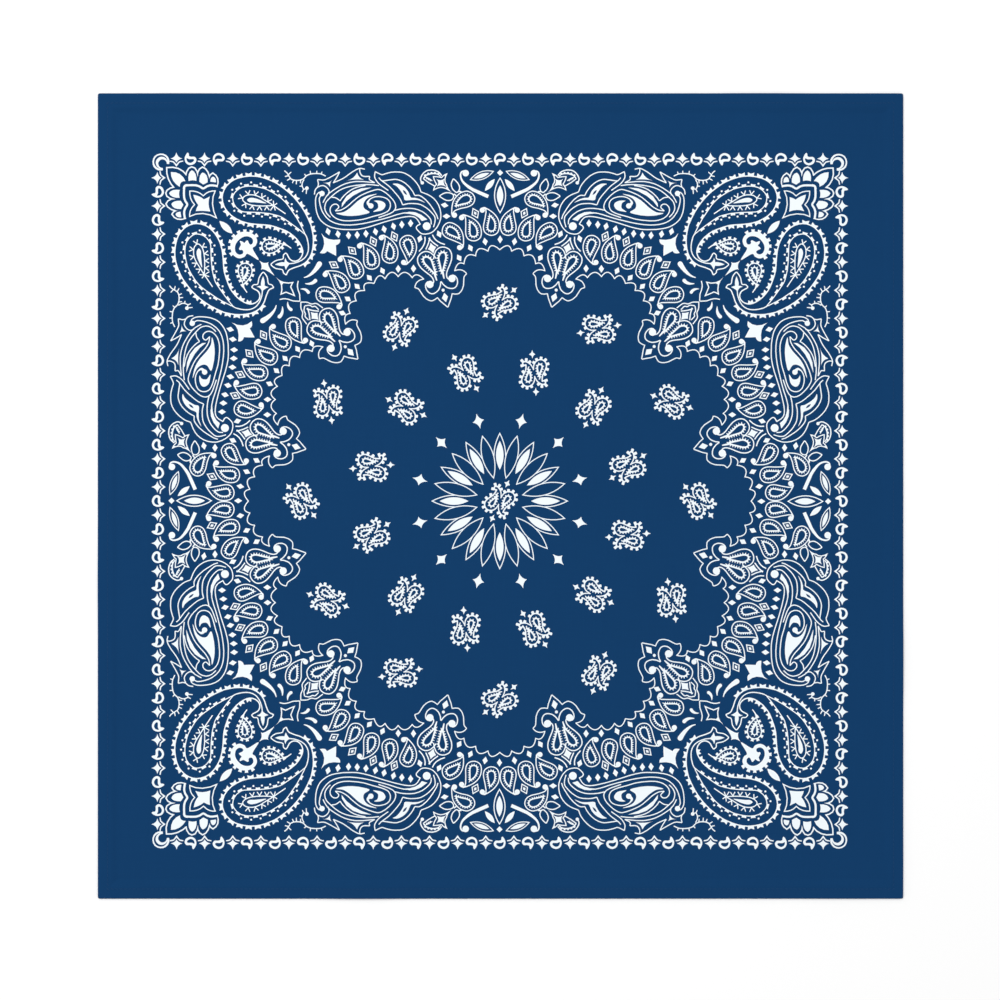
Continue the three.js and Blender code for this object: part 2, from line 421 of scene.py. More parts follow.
def drop(bulb, tip, radius, bend):
    """A drop that is round at its bulb and pointed at its tip, bent sideways by bend."""
    along = tip - bulb
    ahead = along / abs(along)
    line = bow([bulb, (bulb + tip) / 2 + 1j * ahead * bend, tip], 9)
    outline_right, outline_left = [], []
    for i, (point, direction) in enumerate(zip(line, directions(line))):
        share = i / (len(line) - 1)
        half = radius * math.cos(math.pi / 2 * share) ** 1.1
        outline_right.append(point - 1j * direction * half)
        outline_left.append(point + 1j * direction * half)
    first = directions(line)[0]
    back = [bulb + radius * first * complex(math.cos(a), math.sin(a))
            for a in (math.radians(90 + 180 * k / 6) for k in range(1, 6))]
    return outline_right[:-1] + [tip] + outline_left[:-1][::-1] + back


def teeth(line, pitch, width, height):
    """Small pointed teeth at an even pitch round an outline, on its outer side."""
    outwards = -1j if area(line) > 0 else 1j
    shapes = []
    for place, ahead in evenly(line, pitch, True):
        foot = ahead * width / 2
        shapes.append(([place - foot, place + foot, place + outwards * ahead * height], WHITE))
    return shapes


small_paisley = drop(at(81.9, 65.4), at(92.8, 64.1), 5.3, BEND)
paisley_ring = drop(at(82.1, 65.3), at(89.9, 64), 2.45, bend=-0.3)
paisley_hollow = drop(at(81.9, 65.4), at(91.4, 64.2), 4.5, BEND)
ring_hollow = drop(at(81.5, 65.3), at(86.4, 64.2), 1.15, bend=-0.2)
eight_ways(lugs(small_paisley, 3.5, length=2.0, height=1.65, dip=0.2, side=-1, closed=True)
           + [(small_paisley, WHITE), (paisley_hollow, NAVY), (paisley_ring, WHITE)]
           + teeth(paisley_ring, 1.9, width=0.95, height=1.3) + [(ring_hollow, NAVY)]
           + stroke([at(92, 63.8), at(94.7, 64.8), at(97.5, 66.8)], 1.4, 0.8, 0.66))

# Beside the great paisleys lie a twig with barbs, a solid star and three loose drops. A framed
# star stands on the diagonal, with thin bent lines beyond it.
twig = smooth([at(92.7, 12.9), at(94.4, 14.3), at(95.7, 16.3), at(97.4, 18.7), at(100.6, 19.6),
               at(103.7, 19.4), at(106.2, 18.3), at(108.1, 16.3), at(111.2, 15.1), at(115.2, 14.8),
               at(118.3, 15.2), at(121.4, 16.6)])
branch = smooth([at(106.3, 19), at(105.1, 21.3), at(105, 23.5), at(106.1, 25.6), at(108.1, 25.3)])
barbs = [(at(95.7, 16.3), at(93, 16.9)), (at(96.9, 18.2), at(94.5, 19.6)),
         (at(99.2, 19.3), at(98.2, 21.5)), (at(101.1, 19.6), at(100.9, 22.4)),
         (at(104, 19.4), at(103.8, 21.6)), (at(107.9, 16.6), at(106.5, 15.2)),
         (at(110.9, 15.2), at(110.6, 13)), (at(115.1, 14.9), at(115.2, 12.9)),
         (at(118.3, 15.2), at(118.8, 13.5)), (at(105, 23.5), at(103.2, 23.7)),
         (at(106.1, 25.6), at(105.1, 27.7)), (at(108.1, 25.3), at(107.8, 29)),
         (at(95.4, 15.6), at(97.4, 13.8))]
sprig = stroke(twig, THIN_LINE) + stroke(branch, THIN_LINE) + [(disc(at(108.3, 25), 1.3), WHITE)]
for foot, tip in barbs:
    sprig += stroke([foot, tip], BOLD_LINE, 0.58)
eight_ways(sprig)
solid_star = sides(at(118.3, 56.3), at(123.3, 60.3), at(131.4, 60.6), at(130.8, 63.2),
                   at(128.4, 64.6), at(128.6, 68.4), at(128.6, 72), at(125.1, 70.2),
                   at(122.2, 68.6), at(120.6, 70.2), at(117.3, 70), at(120.3, 63.8))
eight_ways([(solid_star, WHITE)])
for line, widths in [([at(106.2, 87.1), at(111.8, 84.2), at(117, 77.6)], (0.5, 2.2, 3.6)),
                     ([at(107.1, 91.3), at(111.3, 91.1), at(114.2, 89.2)], (0.4, 1.8, 2.6)),
                     ([at(103.9, 95), at(107.2, 95.4), at(109.3, 97.3)], (0.3, 1.6, 2.2))]:
    eight_ways(stroke(bow(line), *widths) + [(disc(line[2], widths[-1] / 2), WHITE)])
star_frame = sides(at(86.8, 86.9), at(92.2, 90.1), at(99.2, 90), at(98.1, 92), at(97.5, 93.6),
                   at(98.9, 96.6), at(100.3, 100.3), at(96.9, 98.8), at(93.8, 97.6), at(92, 98.3),
                   at(89.8, 99.2), at(90.3, 92.3))
FRAME_LINE = 0.79
four_ways(rimmed(star_frame, FRAME_LINE))
for bends in [
    [at(102.3, 89.4), at(101.7, 92.6), at(102.2, 95.7), at(103.3, 98.9), at(103.5, 103.4)],
    [at(103.9, 104.1), at(108.4, 104.2), at(111.5, 105.4), at(115, 105.1), at(119.4, 108.2)],
    [at(106.8, 106.7), at(110.1, 106.3), at(112.1, 107.3), at(114.1, 107.1), at(116.5, 109.4)],
]:
    eight_ways(stroke(smooth(bends), THIN_LINE))

# The scrolled leaf between the corner and the middle of each side, with its mirror image. Lines of
# one width run along its folds, and filled hearts lie between them.
SCROLL_LINE = 0.73
scrolls = [
    [at(118.5, 27.5), at(116.1, 28.4), at(114.5, 31.5), at(114.3, 35.9), at(115.1, 41.7),
     at(117.4, 46.7), at(121.1, 50.1), at(125.7, 52.3), at(131.9, 53.5), at(138.1, 53.8),
     at(144.3, 53.5), at(152.1, 51.7), at(161.7, 48.6), at(169.5, 46.4), at(177.2, 44.8),
     at(181.9, 44.8), at(184.7, 46.4), at(186.8, 49.7)],
    [at(186.9, 50), at(184.9, 51.1), at(184.2, 52.6), at(185.5, 54.6), at(188.1, 56.6),
     at(191.5, 56.8), at(195.5, 55.4), at(198.9, 51.7), at(201.1, 46.4), at(201.1, 41.4),
     at(199.6, 36.5), at(196.5, 32.3), at(192.7, 29.7), at(187.5, 27.6)],
    [at(187.5, 27.6), at(185.9, 23.5), at(182.8, 19.4), at(178.8, 16), at(174.1, 14),
     at(167.9, 13.8), at(163.3, 14.8), at(160.2, 15.6), at(155.7, 13.5)],
    [at(155.7, 13.5), at(155.3, 17.1), at(156.7, 20), at(159.3, 22.8), at(164.8, 26.6)],
    [at(118, 30), at(116.9, 32.4), at(117.5, 36.8), at(119.1, 41.4), at(122, 45.5), at(125.7, 48.3),
     at(131, 50.1), at(138.1, 50.6), at(145.9, 49.8), at(152.1, 48.6), at(163.3, 45.8),
     at(171, 43.3), at(176.6, 42.1), at(180.3, 42.5)],
    [at(124.6, 45.2), at(122, 42.4), at(120.7, 39), at(121.4, 35.2), at(123.6, 32.4),
     at(129.2, 27.6), at(134.1, 25), at(139.7, 23.5), at(145.9, 22.7), at(152.1, 22.5),
     at(158.3, 23.2)],
    [at(125.4, 31.2), at(128.5, 31.8), at(131.4, 33.8)],
    [at(131.4, 33.8), at(132.9, 31.5), at(136, 28.4), at(139.7, 25.8), at(144, 24.1),
     at(149, 23.1)],
    [at(119.5, 35.1), at(120.8, 32.4), at(122.6, 29.7), at(125.1, 27.5), at(130.4, 24.1),
     at(135.4, 21.8), at(141.2, 20.5), at(147.4, 20.4), at(155.4, 21.2)],
    [at(113.5, 29.4), at(114.1, 26.2), at(116.1, 24.1), at(119.5, 23.2), at(122.3, 24.7),
     at(123.7, 27.2), at(122.9, 30)],
    [at(115.9, 24.1), at(116.3, 21.9), at(115.7, 19)],
    [at(115.7, 19), at(120.2, 19.3), at(124.2, 17.6), at(131, 13.7)],
    [at(131, 13.7), at(129.2, 17.3), at(126.6, 21.3)],
    [at(126.6, 21.3), at(133.5, 18.2), at(139.7, 13.8), at(144.7, 11.3), at(148.5, 11.8)],
    [at(145.1, 11.5), at(145, 13.5), at(146.2, 16), at(148.4, 16.9), at(151.9, 16.8)],
    [at(151.9, 16.8), at(151.8, 19.1), at(155.4, 21.2)],
    [at(128, 40.8), at(130.4, 38.3), at(129.2, 36.3), at(126.7, 36.3), at(124.8, 38.2),
     at(124.4, 40.8), at(125.7, 43.6), at(128.8, 46.1), at(133.5, 47.5), at(139.7, 47.6),
     at(147.4, 46.6), at(153.6, 44.8), at(160.2, 43), at(164.4, 41), at(166.1, 38.3),
     at(166.1, 35.2), at(164.5, 32.8), at(161.7, 31.4), at(158, 30.8), at(154.6, 31.3),
     at(151.8, 32.9), at(150.5, 35.2)],
    [at(128, 40.8), at(131.9, 40.2), at(136, 37.9), at(139.7, 34.6), at(144.3, 30.9), at(149, 28.5),
     at(153.6, 26.8), at(158, 25.9), at(162.1, 27.6), at(166.1, 30.9), at(168.9, 34.3),
     at(170, 37.7), at(169, 40.5), at(165.8, 42.7), at(158, 45.5)],
    [at(169.2, 40.4), at(174.1, 39.3), at(178.8, 39), at(183.4, 39.4), at(188.1, 41.1),
     at(192.1, 44.1), at(194.3, 47), at(194.6, 50.1)],
    [at(158.2, 17.7), at(160.5, 19.9), at(164.8, 19.4), at(170.1, 18.9), at(174.8, 20.4),
     at(179.1, 23.8), at(181.9, 27.5), at(183.2, 30.1)],
    [at(183.2, 30.1), at(186.5, 30.1), at(190.3, 32.6), at(193.7, 36.3), at(196.5, 40.5),
     at(198.5, 43.9), at(199.3, 46.5)],
    [at(160.5, 20), at(165.5, 23.8), at(169.5, 28.1), at(172.9, 32.4), at(174.8, 36.6)],
    [at(174.8, 36.6), at(178.8, 35.7), at(183.4, 35.7), at(187.5, 36.5), at(192.1, 39.3),
     at(195.5, 42.7), at(197.2, 45.2), at(197.2, 48.6), at(196.2, 52.1)],
]
scrolled_leaf = []
for bends in scrolls:
    scrolled_leaf += stroke(smooth(bends), SCROLL_LINE)
scrolled_leaf += [
    (disc(at(186.8, 49.9), 0.55, 6), WHITE),
    (disc(at(118.8, 28.7), 1.9), WHITE),
    (disc(at(191.5, 51.4), 2.8, 12), WHITE),
    (sides(at(119.3, 21.3), at(123.3, 21), at(126.2, 19.2), at(124.6, 21.3), at(124.4, 24.5),
           at(122.5, 22.1)), WHITE),
    (sides(at(135.8, 19.8), at(140.2, 17.9), at(143.2, 14.2), at(144.8, 17.4), at(147.9, 19.1),
           at(141.6, 18.9)), WHITE),
    (sides(at(132.4, 38.3), at(132.5, 36.8), at(132.6, 35.6), at(140.3, 27.2), at(153.2, 24.5),
           at(140.3, 30.3)), WHITE),
    (smooth([at(128.5, 42.4), at(133.5, 41.7), at(138.5, 38.6), at(144.3, 33.4), at(150.2, 30.3),
             at(156.9, 29), at(150.5, 31.8), at(147.7, 35.5), at(148.1, 39), at(151.8, 41.8),
             at(145.9, 43.6), at(139.7, 44.3), at(133.5, 43.9)], True), WHITE),
    (brush(smooth([at(151.8, 32.9), at(150.5, 35.2), at(152.7, 37.6)]), 0.75, 1.7, 2.8), WHITE),
    (disc(at(152.7, 37.3), 1.9), WHITE),
    (smooth([at(155, 33.7), at(159, 33.7), at(162.2, 35.2), at(162.7, 37.7), at(160.2, 40.4),
             at(154.3, 41.4), at(157.4, 39.1), at(157.8, 36.8), at(156.9, 34.9)], True), WHITE),
    (sides(at(175.4, 42.5), at(183.4, 41.7), at(191.9, 46.7), at(190.3, 47.1), at(188.1, 47.8),
           at(183.4, 43.9)), WHITE),
    (smooth([at(167.9, 22.1), at(171.4, 21.9), at(175.4, 23.8), at(178.5, 27.2), at(180.5, 31.4),
             at(183.4, 31.7), at(187.2, 32.9), at(190.4, 35.1), at(185.9, 33.4), at(181.9, 33.1),
             at(176.4, 33.3), at(175.4, 30.3), at(172.9, 26.2), at(170.4, 23.5)], True), WHITE),
    (leaf(at(174.8, 26.1), at(177.8, 29.8), 1.4), NAVY),
]
eight_ways(scrolled_leaf)

# The diamonds between the motifs: rows of small solid ones, and larger open ones that each hold a
# solid one. Every one has a tilt of its own.
FINE_LINE = 0.71


def diamond(middle, across, along, turn=0.0):
    """A diamond as wide across and as long as given, turned by degrees."""
    spin = complex(math.cos(math.radians(turn)), math.sin(math.radians(turn)))
    corners = [across / 2, 1j * along / 2, -across / 2, -1j * along / 2]
    return [middle + spin * corner for corner in corners]


for place, turn in [(at(123, 55.1), 14), (at(129.9, 56.9), 8), (at(137.2, 57.8), 4),
                    (at(143.2, 57.5), 0), (at(149.3, 56.6), 4), (at(155.9, 55.2), 12),
                    (at(161.9, 53.5), 13), (at(168.4, 51.5), 14), (at(174.2, 50.3), 2),
                    (at(180.3, 49.4), 0), (at(203.9, 36.8), 80), (at(205.2, 44.5), 90),
                    (at(200.1, 56.9), 25), (at(186.7, 60.1), -17), (at(214, 73.4), 30),
                    (at(221.8, 66.5), 25), (at(232, 62.1), 10), (at(182.3, 80.8), 0),
                    (at(171.7, 81), 0), (at(160.8, 82.4), 25), (at(151.7, 87.2), 40),
                    (at(143.2, 93.2), 45), (at(136.7, 101.9), 55), (at(132.9, 111.7), 68)]:
    eight_ways([(diamond(place, 3.7, 5.5, turn), WHITE)])
four_ways([(diamond(at(242.4, 14.3), 4.2, 4.2), WHITE), (diamond(at(242.4, 60.6), 3.6, 5.6), WHITE)])
for place, turn in [(at(225.2, 42.4), 26), (at(127, 78.2), 58), (at(139.8, 68.4), 46),
                    (at(154.4, 62), 26), (at(169, 58.5), 26)]:
    eight_ways(rimmed(diamond(place, 5.8, 8.4, turn), FINE_LINE)
               + [(diamond(place, 2.0, 2.9, turn), WHITE)])

# The spray at the middle of each side, on both sides of a long leaf: a star in a frame before a
# crescent, two small open leaves, a toothed drop, a hooked stem and two pointed leaves.
SEED_PITCH = 1.55  # from one tooth of a toothed seed to the next


def seeded(outline, rim, gap, seed):
    """A rimmed shape that holds a smaller toothed one, with its own middle left open."""
    inner = inset(outline, rim + gap)
    shapes = rimmed(outline, rim) + [(inner, WHITE)]
    shapes += teeth(inner, SEED_PITCH, width=0.76, height=1.05)
    return shapes + [(inset(inner, seed), NAVY)]


spray_star = sides(at(195.7, 16.6), at(198.8, 16.7), at(201.8, 17.2), at(203.5, 15.6),
                   at(206, 14.5), at(204.4, 19.1), at(205.5, 22.2), at(206.6, 25.3),
                   at(208.8, 27.9), at(204.4, 25.5), at(201, 24.8), at(198.5, 25.5),
                   at(195.9, 26.9), at(196.4, 24.4), at(197.9, 22.2), at(196.4, 19.4))
spray = rimmed(spray_star, FINE_LINE)
spray += [(star(at(198.2, 18.6), at(198.5, 23.9), at(205.3, 24.3), at(203.8, 18.3), waist=0.6,
                middle=at(201.3, 21.1)), WHITE)]
spray += stroke(smooth([at(188.4, 22.1), at(187.2, 18.5), at(188.9, 14.9), at(191.8, 12.8),
                        at(195.8, 12.4), at(199.6, 13.7), at(201.9, 16.3)]), BOLD_LINE)
crescent = smooth([at(189.3, 18.2), at(191.2, 16), at(195.2, 14.8), at(198.9, 15.2), at(201.1, 16.8)])
spray += stroke(crescent, 0.9, 0.95, 0.7) + lugs(crescent, 2.3, length=1.2, height=1.1)
spray += stroke([at(189, 18.3), at(192.7, 21.1), at(196.9, 23.5)], THIN_LINE)
vein = [at(190.6, 17.3), at(193.1, 18.5), at(195.4, 19.9)]
spray += stroke(vein, 0.6, 1.0, 0.5) + lugs(vein, 1.5, length=0.8, height=1.0, side=-1)
spray += [(disc(at(188.4, 21.3), 1.2), WHITE)]
for bends in [
    [at(210.3, 18.3), at(213.4, 21.3), at(214.7, 24.4), at(214, 27.2), at(211.9, 28.3),
     at(209.2, 25.9), at(208.1, 22.5), at(208.9, 19.7)],
    [at(200.1, 30.3), at(203.8, 28), at(207.5, 27.9), at(210.2, 29.3), at(210.3, 31.8),
     at(208.5, 33.7), at(205, 33.8), at(201.8, 32.1)],
]:
    spray += rimmed(smooth(bends, True), THIN_LINE)
spray_drop = smooth([at(213.7, 28.7), at(216.8, 27.1), at(220.2, 26.8), at(223.6, 28.7), at(225.2, 32.1),
                     at(224, 35.9), at(220.5, 38.2), at(215.3, 39.4), at(211.2, 41), at(208.8, 43.6),
                     at(208.5, 39.9), at(209.1, 35.5), at(210.6, 32.1)], True)
spray += seeded(spray_drop, rim=0.74, gap=1.8, seed=0.95) + [(disc(at(210.7, 43.7), 1.9), WHITE)]
spray += stroke([at(210.4, 29), at(212, 30.3)], BOLD_LINE)
spray += stroke([at(213.4, 27.2), at(215.6, 27.5)], 1.0)
spray += stroke(smooth([at(218.2, 12.8), at(215.7, 13.7), at(215, 16.6), at(216.8, 20.8), at(222.1, 25.2),
                        at(228, 28.1), at(234.2, 30.8)]), 0.83, 1.2, 2.0, 2.3, 2.4)
spray += [(disc(at(218.5, 14.6), 2.3, 12), WHITE)]
spray += rimmed(leaf(at(221.2, 19.3), at(238.3, 13.1), 5.8), 0.62)
spray += [(leaf(at(224.1, 18.2), at(235, 14.5), 2.8), WHITE),
          (leaf(at(231.9, 26.9), at(238.7, 18.6), 3.6), WHITE)]
eight_ways(spray)
four_ways(rimmed(leaf(at(242.4, 17.3), at(242.4, 42.7), 8.4), 0.7)
          + [(leaf(at(242.4, 23), at(242.4, 37.6), 4.4), WHITE)])

# The ring of little ball-tipped paisleys round the field. In each eighth of the square six have
# the ball at the outer end and three at the inner one, all in one shape with a toothed seed.
RING_TILT = 121.8  # the way from a ring paisley's middle to its ball, as drawn
RING_SIZE = 1.02
ring_drop = smooth([-5.6 - 0.6j, -3.9 - 4.4j, 0.4 - 5.9j, 4.4 - 4.2j, 5.8 - 0.2j, 5.2 + 4.6j,
                    2.6 + 8.6j, -1.4 + 11.6j, -5.0 + 12.9j, -4.6 + 10.0j, -5.0 + 5.6j], True, 3)
ring_motif = seeded(ring_drop, rim=0.72, gap=2.05, seed=0.9)
ring_motif += [(disc(-6.9 + 11.1j, 1.8), WHITE)]
ring_motif += stroke(smooth([-3.6 + 12.0j, -5.3 + 12.8j, -7.1 + 12.4j]), 0.75, 1.08, 1.08)
ring_motif_flipped = [([-p.conjugate() for p in outline], ink) for outline, ink in ring_motif]


def moved(shapes, place, turn, size):
    """A motif as it lies at a place, turned by degrees and drawn a size larger."""
    spin = size * complex(math.cos(math.radians(turn)), math.sin(math.radians(turn)))
    return [([place + spin * p for p in outline], ink) for outline, ink in shapes]


def way_to(start, end):
    """The way from one place to another, in degrees."""
    return math.degrees(math.atan2((end - start).imag, (end - start).real))


for middle, ball in [(at(236.2, 52.1), at(230.1, 40.3)), (at(223.9, 56), at(215.8, 45.6)),
                     (at(165.8, 71.4), at(160.3, 60)), (at(153.1, 75.6), at(144.8, 65)),
                     (at(142.1, 82.4), at(131.6, 74.6)), (at(132.4, 91.9), at(121, 84.9))]:
    eight_ways(moved(ring_motif, middle, way_to(middle, ball) - RING_TILT, RING_SIZE))
for middle, ball in [(at(207.8, 54.6), at(214.8, 67.1)), (at(178.2, 63.5), at(175.5, 76.3)),
                     (at(120.2, 99), at(129.8, 106.7))]:
    turn = way_to(middle, ball) - (180 - RING_TILT)
    eight_ways(moved(ring_motif_flipped, middle, turn, RING_SIZE))

# The twelve spikes between the lobes of the field: two paisleys side by side that end in scrolls,
# a star over them, and the shield that the scalloped edge makes round them. Drawn upright at the
# top, one half, with the print's middle at 0.
REPEATS = 12  # spikes round the field, with a lobe between each two
REPEAT_TURN = 360 / REPEATS
scroll = smooth([-0.1 + 157.8j, -1.3 + 154.9j, -3.5 + 152.3j, -6.6 + 151j, -9 + 151.5j,
                 -10.8 + 153.7j, -11.3 + 156.7j, -10.5 + 158.9j, -8.8 + 160.1j])
half_spike = stroke(scroll, FRAME_LINE)
half_spike += [(disc(-7.9 + 157.8j, 2.55, 12), WHITE)]
bulb_line = smooth([0.9 + 174.1j, -0.4 + 177j, -2.3 + 179.4j, -4.9 + 180.7j, -8 + 180.4j,
                    -10.7 + 178.6j, -11.8 + 176.6j, -12 + 173.9j, -11 + 170.6j,
                    -8.7 + 167.1j, -6.3 + 164.1j, -5 + 161.6j, -4.8 + 159.3j, -5.8 + 157.7j])
half_spike += stroke(bulb_line, FRAME_LINE)
core = smooth([-7.4 + 175.7j, -6.3 + 176.5j, -4.9 + 176.1j, -3.4 + 174.4j, -3 + 172.3j,
               -2.9 + 169.6j, -2.8 + 166.8j, -2.6 + 164.9j, -4 + 167.2j, -5.7 + 170.3j,
               -7.2 + 173.2j], True)
body = inset(core, -1.15)
half_spike += [(body, WHITE)]
half_spike += teeth(body, 1.75, width=1.0, height=1.3)
half_spike += [(core, NAVY)] + stroke([-3 + 165.6j, -2.8 + 162.3j, -2.6 + 159.1j], 1.4, 1.3, 0.75)
half_spike += stroke(smooth([0.4 + 189.2j, -0.9 + 186.6j, -2.5 + 184.3j, -4.4 + 182j]), BOLD_LINE)
corner_of_shield = -18.6 + 158.4j
half_spike += stroke(smooth([corner_of_shield, -16.4 + 156.8j, -15.3 + 153.8j, -14.3 + 150.9j,
                             -12.4 + 148.2j, -9.8 + 146.5j, -7.2 + 146.8j, -5.3 + 147.6j]), FINE_LINE)
half_spike += stroke(smooth([-5.4 + 147.8j, -3.8 + 144.6j, -1.9 + 142j, -0.1 + 139.3j]), FINE_LINE)


def both_halves(shapes):
    """Half a motif with its mirror image on the other side of the upright."""
    return shapes + [([-p.conjugate() for p in outline], ink) for outline, ink in shapes]


spike_axis = [(star(185.6j, -3 + 181.8j, 177.8j, 3 + 181.8j, waist=0.85, middle=181.8j), WHITE),
              (disc(-0.1 + 151.6j, 1.1, 8), WHITE),
              ([0.2 + 149.6j, 2 + 146.5j, -0.3 + 143j, -2.4 + 146.4j], WHITE)]
chevron = stroke(smooth([-2.7 + 190.7j, -3.2 + 188.3j, -4.5 + 185.9j, -6.7 + 183.6j,
                         -9.3 + 181.9j]), BOLD_LINE)
for k in range(REPEATS):
    on_diagonal = k % 3 == 1  # where the framed star leaves no room for the chevron
    half = half_spike if on_diagonal else half_spike + chevron
    lay(both_halves(half) + spike_axis, turn=REPEAT_TURN * (k + 0.5))

# The scalloped line over each lobe of the field, again upright at the top: from the shield's
# corner, by way of each arch and cusp, to the lobe's middle.
half_turn = math.radians(REPEAT_TURN / 2)
scallops = [corner_of_shield * complex(math.cos(half_turn), -math.sin(half_turn)),
            26.6 + 160.4j, 31.3 + 159.9j, 28.8 + 164.7j, 24.9 + 164.7j, 22.4 + 170.4j,
            16.8 + 170.2j, 14.3 + 175.1j, 8.2 + 173.5j, 5.5 + 177.3j, 174.5j]
half_lobe = []
for k in range(0, len(scallops) - 2, 2):
    half_lobe += stroke(bow(scallops[k:k + 3], 8), FINE_LINE)
    half_lobe += [(disc(scallops[k + 2], 0.42, 6), WHITE)]
for k in range(REPEATS):
    lay(both_halves(half_lobe), turn=REPEAT_TURN * k)

# The field: two paisleys hooked into one another, with beads all round and two tiny stars, laid
# in two rings and once in the middle. One paisley is drawn, and the other is it turned round.
OUTER_RING = 137.8  # from the print's middle
INNER_RING = 92.0
INNER_TURN = 69  # how far the inner ring's motifs are turned beyond their place
loop = smooth([1.33 + 8.01j, 6.92j, -1.7 + 5.95j, -3.87 + 5.4j, -6.29 + 5.05j, -8.35 + 4.45j,
               -9.92 + 3.29j, -10.88 + 1.47j, -10.88 - 0.46j, -9.92 - 2.27j, -8.11 - 3.48j,
               -6.05 - 3.73j, -4.12 - 3.29j, -2.42 - 2.27j, -1.52 - 1.67j])
cap = smooth([1.02 + 7.92j, 0.29 + 8.73j, 0.31 + 9.85j, 1.33 + 10.63j, 2.73 + 9.82j,
              3.41 + 8.01j, 3.51 + 6.07j, 2.96 + 4.14j, 2.18 + 2.57j, 1.46 + 1.47j])
drop_ring = smooth([-8.03 + 0.51j, -7.71 + 1.8j, -6.52 + 2.83j, -4.8 + 3.34j, -2.89 + 3.8j,
                    -1 + 4.63j, 0.93 + 5.9j, 3.76j, -0.97 + 1.95j, -2.42 + 0.51j, -3.87 - 0.7j,
                    -5.33 - 1.42j, -6.77 - 1.31j, -7.75 - 0.59j], True, 3)
drop_core = smooth([-7.1 + 0.62j, -6.77 + 1.47j, -5.33 + 2.2j, -3.63 + 2.57j, -2.18 + 2.63j,
                    -3.14 + 1.47j, -4.35 + 0.26j, -5.56 - 0.46j, -6.54 - 0.34j], True, 3)
loop_beads = [-3.75 + 6.67j, -7.5 + 5.95j, -10.77 + 4.02j, -12.1 + 1j, -11.25 - 2.16j, -8.59 - 4.09j]
cap_beads = [4.49 + 7.02j, 4.35 + 9.85j, 2.01 + 11.85j, -0.85 + 9.82j]


def bead(place, middle):
    """A bead with a foot, which looks away from a middle."""
    out = (place - middle) / abs(place - middle)
    return ([place + out * corner for corner in
             (-1.3 - 0.8j, 0.5 - 1.0j, 1.0 - 0.7j, 1.0 + 0.7j, 0.5 + 1.0j, -1.3 + 0.8j)], WHITE)


def about(shapes):
    """A motif together with the same turned half round."""
    return shapes + [([-p for p in outline], ink) for outline, ink in shapes]


hooked_pair = about([bead(place, -5.8 + 0.51j) for place in loop_beads]
                    + [bead(place, 1.45 + 8.01j) for place in cap_beads]
                    + stroke(loop, 0.88, 0.88, 0.88, 0.75) + stroke(cap, 0.92, 0.92, 0.85, 0.5)
                    + [(disc(1.12 + 7.98j, 0.6, 8), WHITE), (drop_ring, WHITE)]
                    + teeth(drop_ring, 1.9, width=1.1, height=1.0)
                    + [(drop_core, NAVY)])
hooked_pair += [bead(5.8 + 4.5j, 5.8 - 0.51j)]
tiny_star = [12.21 + 10.38j, 11.08 + 8.98j, 11 + 6.92j, 9.56 + 7.47j, 7.38 + 6.92j, 8.66 + 8.37j,
             8.42 + 10.55j, 9.92 + 9.89j]
hooked_pair += about([(tiny_star, WHITE)])


def round_the_field(angle, reach):
    """A place round the field: its angle from the top, counted to the left, and its reach."""
    return 1j * reach * complex(math.cos(math.radians(angle)), math.sin(math.radians(angle)))


for k in range(REPEATS):
    angle = REPEAT_TURN * k
    between = REPEAT_TURN * (k + 0.5)
    lay(hooked_pair, round_the_field(angle, OUTER_RING), angle)
    lay(hooked_pair, round_the_field(between, INNER_RING), between + INNER_TURN)

# The daisy round the middle motif: twelve petals with filled hearts, twelve open ones over them,
# and twelve small stars beyond their tips.
DAISY_HOLLOW = 31.5  # inside this radius the filled petals are cleared for the open ones
MIDDLE_TURN = 25  # of the motif in the very middle
filled_petal = leaf(15.3j, 47.7j, 8.8)
petal_heart = leaf(21.7j, 41.8j, 5.3)
open_petal = leaf(15.8j, 47.3j, 8.7)
daisy_star = star(62.8j, -4.1 + 57.4j, 52.0j, 4.1 + 57.4j, waist=0.7, middle=57.4j)
for k in range(REPEATS):
    lay(rimmed(filled_petal, INNER_LINE), turn=REPEAT_TURN * k)
lay([(disc(0, DAISY_HOLLOW, 36), NAVY)])
for k in range(REPEATS):
    lay(rimmed(open_petal, INNER_LINE), turn=REPEAT_TURN * (k + 0.5))
for k in range(REPEATS):
    lay([(petal_heart, WHITE)], turn=REPEAT_TURN * k)
    lay([(daisy_star, WHITE)], turn=REPEAT_TURN * (k + 0.5))
lay(hooked_pair, turn=MIDDLE_TURN)

# The cloth
# A square of thin plain-woven cotton, dyed navy all through, with the print on its upper face
# only. It lies flat, keeps a few low ripples, and rises over the turned hems along its edges.
MM = 0.001
HALF = 279.5  # from the middle of the cloth to the fold, in millimetres
CLOTH = 0.5  # how thick it is
TURNED = 1.0  # how thick the turned-in hem under each edge is
EASE = 0.15  # air between the cloth and that hem
HEM_END = 8.6  # how far in from the fold the cloth stays up on the hem
EASE_END = 14.6  # how far in it is down again
CORNER = 1.4  # radius of the square's corners
PRINTED_HALF = 246.0  # the square inside which there is print
PRINT_OFF_CENTRE = -0.5 - 3.5j  # the print's middle lies a little off the cloth's
STEP = 8.2  # between the mesh's lines across the field
ROUNDED = 1.2  # this near the fold, the upper face has the mesh's own soft normals
RIPPLES = [  # x, y, heading in degrees, length, width, height
    (-214, 236, 118, 150, 84, 1.1),
    (-96, -262, 97, 130, 92, 0.9),
    (178, 262, 82, 120, 78, 0.8),
    (250, -118, 12, 170, 88, 1.0),
    (206, -226, 141, 190, 96, 1.2),
    (-258, -64, 171, 140, 80, 0.8),
    (112, 128, 34, 220, 104, 0.6),
    (-142, -128, 52, 230, 110, 0.7),
]


